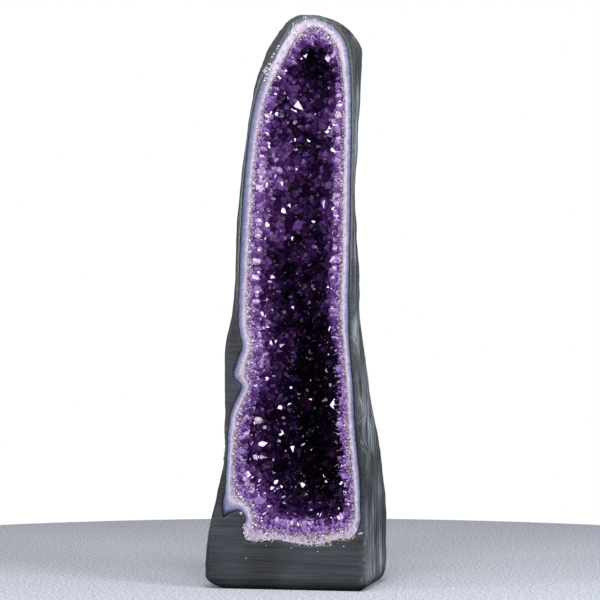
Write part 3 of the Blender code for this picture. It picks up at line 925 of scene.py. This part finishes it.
class Nodes:
    """Short forms for building a material's node tree."""

    def __init__(self, name):
        self.material = bpy.data.materials.new(name)
        self.material.use_nodes = True
        self.tree = self.material.node_tree
        self.shader = self.tree.nodes["Principled BSDF"]

    def node(self, kind, **settings):
        made = self.tree.nodes.new(kind)
        for key, value in settings.items():
            setattr(made, key, value)
        return made

    def link(self, source, target):
        self.tree.links.new(source, target)

    def attribute(self, name):
        return self.node("ShaderNodeAttribute", attribute_name=name).outputs["Fac"]

    def place(self, scale=(1.0, 1.0, 1.0)):
        where = self.node("ShaderNodeTexCoord").outputs["Object"]
        mapping = self.node("ShaderNodeMapping")
        mapping.inputs["Scale"].default_value = scale
        self.link(where, mapping.inputs["Vector"])
        return mapping.outputs["Vector"]

    def noise(self, scale, detail=2.0, stretch=(1.0, 1.0, 1.0), roughness=0.5):
        texture = self.node("ShaderNodeTexNoise")
        texture.inputs["Scale"].default_value = scale
        texture.inputs["Detail"].default_value = detail
        texture.inputs["Roughness"].default_value = roughness
        self.link(self.place(stretch), texture.inputs["Vector"])
        return texture.outputs["Fac"]

    def math(self, operation, first, second=0.5, third=None):
        made = self.node("ShaderNodeMath", operation=operation)
        for socket, value in zip(made.inputs, (first, second, third)):
            if value is None:
                continue
            if isinstance(value, (int, float)):
                socket.default_value = value
            else:
                self.link(value, socket)
        return made.outputs[0]

    def ramp(self, factor, stops):
        made = self.node("ShaderNodeValToRGB")
        ramp = made.color_ramp
        while len(ramp.elements) < len(stops):
            ramp.elements.new(1.0)
        for element, (position, colour) in zip(ramp.elements, stops):
            element.position = position
            element.color = (*colour, 1.0)
        self.link(factor, made.inputs["Fac"])
        return made.outputs["Color"]

    def coordinate(self, axis):
        split = self.node("ShaderNodeSeparateXYZ")
        self.link(self.place(), split.inputs[0])
        return split.outputs[axis]

    def grey_ramp(self, factor, stops):
        return self.ramp(factor, [(position, (value, value, value)) for position, value in stops])

    def mix(self, factor, first, second, blend="MIX"):
        made = self.node("ShaderNodeMix", data_type="RGBA", blend_type=blend)
        for socket, value in ((made.inputs[0], factor), (made.inputs[6], first), (made.inputs[7], second)):
            if isinstance(value, (int, float)):
                socket.default_value = value
            elif isinstance(value, tuple):
                socket.default_value = (*value, 1.0)
            else:
                self.link(value, socket)
        return made.outputs[2]

    def times(self, colour, shade):
        return self.mix(1.0, colour, shade, "MULTIPLY")

    def clouded(self, colour, scale, detail, darkest, lightest, roughness=0.5):
        """A colour made darker and lighter in cloudy patches."""
        cloud = self.noise(scale, detail, roughness=roughness)
        return self.times(colour, self.grey_ramp(cloud, [(0.3, darkest), (0.7, lightest)]))

    def bump(self, height, distance, strength=1.0, normal=None):
        made = self.node("ShaderNodeBump")
        made.inputs["Distance"].default_value = distance
        made.inputs["Strength"].default_value = strength
        self.link(height, made.inputs["Height"])
        if normal is not None:
            self.link(normal, made.inputs["Normal"])
        return made.outputs["Normal"]

    def finish(self, colour, roughness=None, normal=None, **constants):
        self.link(colour, self.shader.inputs["Base Color"])
        if roughness is not None:
            self.link(roughness, self.shader.inputs["Roughness"])
        if normal is not None:
            self.link(normal, self.shader.inputs["Normal"])
        for name, value in constants.items():
            self.shader.inputs[name.replace("_", " ")].default_value = value
        return self.material


def srgb(code):
    """A hex colour as linear numbers."""
    parts = [int(code[index:index + 2], 16) / 255 for index in (0, 2, 4)]
    return tuple(part / 12.92 if part <= 0.04045 else ((part + 0.055) / 1.055) ** 2.4 for part in parts)


def casing_material():
    """Dark grey-green paint brushed over cement: strokes across the front, up and down the sides."""
    make = Nodes("painted_cement")
    front = make.attribute("front")
    across = make.noise(150.0, 6.0, (0.05, 1.0, 1.5), 0.62)
    upward = make.noise(130.0, 6.0, (1.5, 1.5, 0.045), 0.62)
    strokes = make.mix(front, upward, across)
    patches = make.noise(8.0, 5.0)
    front_colour = make.ramp(patches, [
        (0.28, srgb("1f2126")), (0.45, srgb("2d3036")), (0.58, srgb("3a3e46")), (0.75, srgb("343230")),
    ])
    # The sides are lighter than the front: partly the paint's own two tones, partly painted light falling on
    # the sides.
    side_colour_and_painted_light = make.ramp(patches, [
        (0.28, srgb("3b3f43")), (0.48, srgb("5b6066")), (0.62, srgb("7c8188")), (0.76, srgb("6d6b69")),
    ])
    colour = make.mix(front, side_colour_and_painted_light, front_colour)
    shade = make.grey_ramp(strokes, [(0.36, 0.22), (0.46, 0.72), (0.54, 1.20), (0.64, 2.7)])
    soft_shade = make.grey_ramp(strokes, [(0.30, 0.62), (0.5, 0.90), (0.75, 1.35)])
    colour = make.times(colour, make.mix(front, shade, soft_shade))
    # The pale grey line along the agate's border on the cut face.
    colour = make.mix(make.math("MULTIPLY", make.attribute("pale_border_line"), 0.75), colour, srgb("868d90"))
    # Painted shade: the colour darkens over the lowest 2 cm, towards the foot.
    base = make.grey_ramp(make.coordinate(2), [(0.004, 0.30), (0.020, 1.0)])
    colour = make.times(colour, base)
    roughness = make.grey_ramp(strokes, [(0.3, 0.36), (0.7, 0.55)])
    grain = make.noise(900.0, 2.0)
    normal = make.bump(strokes, 0.0010, 1.0)
    normal = make.bump(grain, 0.00020, 0.5, normal)
    return make.finish(colour, roughness, normal, Specular_IOR_Level=0.45)


# Heights of the cracks in the agate, on either side
LEFT_CRACKS = (0.659, 0.630, 0.570, 0.469)
RIGHT_CRACKS = (0.667, 0.352)


def healed_cracks(make):
    """Hairlines that cross the agate at a few heights, as a mask."""
    wavy = make.math("MULTIPLY_ADD", make.noise(90.0, 2.0), 0.004, make.coordinate(2))
    on_left = make.math("LESS_THAN", make.coordinate(0), 0.0)
    on_right = make.math("GREATER_THAN", make.coordinate(0), 0.0)
    mask = None
    for heights, side in ((LEFT_CRACKS, on_left), (RIGHT_CRACKS, on_right)):
        for height in heights:
            line = make.math("MULTIPLY", make.math("COMPARE", wavy, height + 0.002, 0.0004), side)
            mask = line if mask is None else make.math("MAXIMUM", mask, line)
    return make.math("MULTIPLY", mask, 0.6)


def agate_material():
    """Bands of dark blue, blue-grey and white across the polished rim."""
    make = Nodes("banded_agate")
    band = make.attribute("band")
    wobble = make.noise(90.0, 4.0)
    slow = make.noise(14.0, 2.0)
    shifted = make.math("MULTIPLY_ADD", wobble, 0.20, make.math("SUBTRACT", band, 0.10))
    shifted = make.math("MULTIPLY_ADD", slow, 0.24, make.math("SUBTRACT", shifted, 0.12))
    edge = make.grey_ramp(band, [(0.03, 0.0), (0.16, 1.0)])
    pale = make.math("MULTIPLY", make.attribute("pale"), edge)
    shifted = make.math("MULTIPLY_ADD", pale, 0.60, shifted)
    colour = make.ramp(shifted, [
        (0.00, srgb("42465f")), (0.16, srgb("565a80")), (0.36, srgb("686c91")), (0.56, srgb("7f81a1")),
        (0.70, srgb("9c98b4")), (0.82, srgb("b9b0c6")), (0.92, srgb("cdc3d3")), (1.00, srgb("c0b1cb")),
    ])
    lines = make.node("ShaderNodeTexWave", wave_type="BANDS", bands_direction="X")
    lines.inputs["Scale"].default_value = 3.4
    joined = make.node("ShaderNodeCombineXYZ")
    make.link(shifted, joined.inputs[0])
    make.link(joined.outputs[0], lines.inputs["Vector"])
    fine = make.grey_ramp(lines.outputs["Fac"], [(0.2, 0.88), (0.8, 1.06)])
    colour = make.clouded(make.times(colour, fine), 260.0, 5.0, 0.66, 1.22, roughness=0.65)
    outline = make.grey_ramp(band, [(0.05, 0.10), (0.16, 0.50), (0.28, 1.0)])
    colour = make.times(colour, outline)
    dots = make.grey_ramp(make.noise(380.0, 2.0, roughness=0.7), [(0.50, 0.0), (0.58, 0.85)])
    inner = make.grey_ramp(band, [(0.74, 0.0), (0.95, 1.0)])
    colour = make.mix(make.math("MULTIPLY", dots, inner), colour, srgb("765f6c"))
    tints = make.grey_ramp(make.noise(75.0, 3.0), [(0.52, 0.0), (0.66, 0.55)])
    colour = make.mix(make.math("MULTIPLY", tints, inner), colour, srgb("a283b4"))
    colour = make.mix(healed_cracks(make), colour, srgb("4a4a5c"))
    roughness = make.grey_ramp(make.noise(120.0, 3.0), [(0.3, 0.16), (0.7, 0.32)])
    normal = make.bump(make.noise(160.0, 3.0), 0.0004, 0.35)
    return make.finish(colour, roughness, normal, Coat_Weight=0.2, Coat_Roughness=0.1)


def grain_material():
    """Lilac, white and brown-flecked grains that turn purple towards the hollow."""
    make = Nodes("amethyst_grains")
    share = make.attribute("shade")
    tone = make.attribute("tone")
    mixed = make.math("MULTIPLY_ADD", tone, 0.56, make.math("SUBTRACT", share, 0.26))
    colour = make.ramp(mixed, [
        (0.00, srgb("cdc4d4")), (0.14, srgb("a896b0")), (0.24, srgb("75616f")), (0.34, srgb("ab90bd")),
        (0.50, srgb("9774b6")), (0.68, srgb("6c4394")), (0.86, srgb("4a2a69")), (1.00, srgb("b9a2cc")),
    ])
    colour = make.clouded(colour, 500.0, 3.0, 0.62, 1.30)
    flecks = make.grey_ramp(make.noise(420.0, 2.0, roughness=0.7), [(0.58, 0.0), (0.66, 1.0)])
    outer = make.grey_ramp(share, [(0.05, 1.0), (0.42, 0.0)])
    colour = make.mix(make.math("MULTIPLY", flecks, outer), colour, srgb("54413f"))
    roughness = make.grey_ramp(make.noise(300.0, 2.0), [(0.3, 0.10), (0.7, 0.28)])
    normal = make.bump(make.noise(1100.0, 2.0), 0.0001, 0.4)
    return make.finish(colour, roughness, normal, Coat_Weight=0.3, Coat_Roughness=0.06)


def crumb_material():
    """Gold, brown and cream crumbs."""
    make = Nodes("weathered_crust")
    colour = make.ramp(make.attribute("tone"), [
        (0.0, srgb("d6cdbd")), (0.3, srgb("96825f")), (0.5, srgb("5f4c3a")), (0.75, srgb("3a302c")),
        (1.0, srgb("d9d4cc")),
    ])
    colour = make.clouded(colour, 600.0, 3.0, 0.6, 1.3)
    roughness = make.grey_ramp(make.noise(300.0, 2.0), [(0.3, 0.35), (0.7, 0.7)])
    return make.finish(colour, roughness, make.bump(make.noise(900.0, 2.0), 0.0002, 0.6))


AMETHYST_GLINT = (0.82, 0.64, 1.0, 1.0)


def amethyst_material(name):
    """Deep purple crystal: dark sides, some milky or wine-red ones, and glassy faces."""
    make = Nodes(name)
    tone = make.attribute("tone")
    zone = make.noise(16.0, 4.0)
    mixed = make.math("MULTIPLY_ADD", zone, 0.95, make.math("MULTIPLY_ADD", tone, 0.50, -0.22))
    # Painted shade and light: the shade number darkens the hollow's crystals deep inside, low on the right
    # and under the crown, and lightens them at the lip, low on the left and higher up.
    mixed = make.math("MULTIPLY_ADD", make.attribute("shade"), -0.50, mixed)
    colour = make.ramp(mixed, [
        (0.00, srgb("06020a")), (0.20, srgb("190a26")), (0.42, srgb("381b4d")), (0.60, srgb("5c3878")),
        (0.80, srgb("8d68a6")), (1.00, srgb("c6b0d6")),
    ])
    colour = make.clouded(colour, 240.0, 3.0, 0.50, 1.50)
    wine = make.grey_ramp(make.noise(30.0, 2.0), [(0.58, 0.0), (0.70, 0.55)])
    colour = make.mix(wine, colour, srgb("3d0f38"))
    roughness = make.grey_ramp(make.noise(180.0, 2.0), [(0.35, 0.05), (0.7, 0.14)])
    normal = make.bump(make.noise(700.0, 2.0), 0.00008, 0.3)
    gloss = {"IOR": 1.9, "Specular_IOR_Level": 0.55, "Specular_Tint": AMETHYST_GLINT}
    return make.finish(colour, roughness, normal, **gloss)


def bed_material():
    """Grainy purple between the crystals, dull and brownish where the cut face shows it."""
    make = Nodes("amethyst_bed")
    across = make.attribute("across")
    mixed = make.math("MULTIPLY_ADD", make.noise(600.0, 3.0), 0.5, make.math("SUBTRACT", across, 0.25))
    colour = make.ramp(mixed, [
        (0.0, srgb("a594ab")), (0.25, srgb("6d5870")), (0.50, srgb("4a335c")), (0.80, srgb("2a173b")),
        (1.0, srgb("0d0613")),
    ])
    roughness = make.grey_ramp(make.noise(400.0, 2.0), [(0.3, 0.25), (0.7, 0.5)])
    normal = make.bump(make.noise(800.0, 3.0), 0.0003, 0.7)
    return make.finish(colour, roughness, normal)


# ---------------------------------------------------------------- studio

CAMERA_AZIMUTH = math.radians(11.0)
CAMERA_DISTANCE = 3.60
CAMERA_HEIGHT = 0.40
CAMERA_AIM = Vector((0.0029, 0.0, 0.4535))
CAMERA_LENS = 134.4


CAMERA_SENSOR = 36.0


def build_camera():
    """A camera a little to the right of the cut face, about level with the geode's waist."""
    data = bpy.data.cameras.new("camera")
    data.lens = CAMERA_LENS
    data.sensor_width = CAMERA_SENSOR
    camera = bpy.data.objects.new("camera", data)
    bpy.context.scene.collection.objects.link(camera)
    camera.location = Vector((
        math.sin(CAMERA_AZIMUTH) * CAMERA_DISTANCE,
        -math.cos(CAMERA_AZIMUTH) * CAMERA_DISTANCE,
        CAMERA_HEIGHT,
    ))
    camera.rotation_euler = (CAMERA_AIM - camera.location).to_track_quat("-Z", "Y").to_euler()
    bpy.context.scene.camera = camera


def add_softbox(name, place, aim, size, power):
    """A soft area light that faces a point."""
    data = bpy.data.lights.new(name, "AREA")
    data.shape = "RECTANGLE"
    data.size, data.size_y = size
    data.energy = power
    lamp = bpy.data.objects.new(name, data)
    bpy.context.scene.collection.objects.link(lamp)
    lamp.location = place
    lamp.rotation_euler = (Vector(aim) - Vector(place)).to_track_quat("-Z", "Y").to_euler()


FLOOR_RADIUS = 1.25
FLOOR_CORNERS = 96
LIGHT_AIM = (0.0, 0.0, 0.45)
# The soft lights, as (name, place, (width, height), watts)
SOFTBOXES = (
    ("right_light", (2.05, -1.25, 1.15), (0.90, 1.05), 38.0),
    ("top_light", (0.2, -1.2, 2.3), (0.80, 0.62), 24.0),
    ("front_light", (-0.6, -2.6, 1.5), (0.46, 0.46), 10.5),
    ("high_front_light", (1.1, -2.3, 1.9), (0.40, 0.40), 7.0),
    ("low_front_light", (-1.1, -2.5, 0.4), (0.36, 0.36), 5.5),
    ("left_light", (-1.9, -1.5, 0.9), (0.46, 0.55), 16.0),
)


def build_studio():
    """A round pale floor, pale surroundings and soft lights."""
    turns = [math.tau * step / FLOOR_CORNERS for step in range(FLOOR_CORNERS)]
    rim = [(FLOOR_RADIUS * math.cos(turn), FLOOR_RADIUS * math.sin(turn), 0.0) for turn in turns]
    floor = make_object("floor", rim, [tuple(range(FLOOR_CORNERS))])
    make = Nodes("pale_floor")
    speckle = make.ramp(make.noise(230.0, 3.0), [
        (0.34, srgb("9ca1ae")), (0.52, srgb("d2d7e4")), (0.68, srgb("f6f8ff")),
    ])
    floor.data.materials.append(make.finish(speckle, Roughness=0.9))
    floor.visible_glossy = False
    floor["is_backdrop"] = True
    build_world()
    for name, place, size, power in SOFTBOXES:
        add_softbox(name, place, LIGHT_AIM, size, power)


def build_world():
    """White surroundings for the eye, a dimmer even light on the object, and nearly dark for its gloss."""
    world = bpy.data.worlds.new("studio")
    world.use_nodes = True
    tree = world.node_tree
    glow = tree.nodes["Background"]
    backdrop = tree.nodes.new("ShaderNodeBackground")
    mirrored = tree.nodes.new("ShaderNodeBackground")
    for light, strength in ((glow, 0.29), (backdrop, 1.0), (mirrored, 0.016)):
        light.inputs["Color"].default_value = (1.0, 1.0, 1.0, 1.0)
        light.inputs["Strength"].default_value = strength
    path = tree.nodes.new("ShaderNodeLightPath")
    softened = tree.nodes.new("ShaderNodeMixShader")
    choice = tree.nodes.new("ShaderNodeMixShader")
    tree.links.new(path.outputs["Is Glossy Ray"], softened.inputs[0])
    tree.links.new(glow.outputs[0], softened.inputs[1])
    tree.links.new(mirrored.outputs[0], softened.inputs[2])
    tree.links.new(path.outputs["Is Camera Ray"], choice.inputs[0])
    tree.links.new(softened.outputs[0], choice.inputs[1])
    tree.links.new(backdrop.outputs[0], choice.inputs[2])
    tree.links.new(choice.outputs[0], tree.nodes["World Output"].inputs["Surface"])
    bpy.context.scene.world = world
    bpy.context.scene.view_settings.view_transform = "Standard"


# ---------------------------------------------------------------- put together

def dress(thing, material, replaced=()):
    """Give a piece its material and its body, and hide the CAD parts that it stands for."""
    if material is not None:
        thing.data.materials.clear()
        thing.data.materials.append(material)
    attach(thing, "root")
    if replaced:
        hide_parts(*replaced)


def main():
    shape_draw = random.Random(SEED + 9)
    shapes = [quartz_shape(shape_draw) for _ in range(QUARTZ_SHAPES)]
    dress(build_casing(), casing_material(), ["cement_casing"])
    dress(build_agate(), agate_material(), ["agate_shell"])
    dress(build_bed(), bed_material(), ["amethyst_lining"])
    crystal = amethyst_material("amethyst")
    for pile in build_hollow_crystals(shapes):
        dress(pile, crystal, ())
    grains = grain_material()
    for pile in build_rim_crystals(shapes):
        dress(pile, grains, ())
    dress(build_large_rim_crystals(shapes), grains, ())
    dress(build_crust(shapes), grains, ())
    dress(build_needles(shapes), grains, ())
    dress(build_chips(shapes), grains, ())
    dress(build_crumbs(shapes), crumb_material(), ())
    large = amethyst_material("large_amethyst")
    for name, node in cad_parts.items():
        if name.startswith("amethyst_crystal"):
            node.data.materials.clear()
            node.data.materials.append(large)
    build_camera()
    build_studio()


main()

both = [[list(corner) for corner in bounds] for bounds in (cad_bounds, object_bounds())]
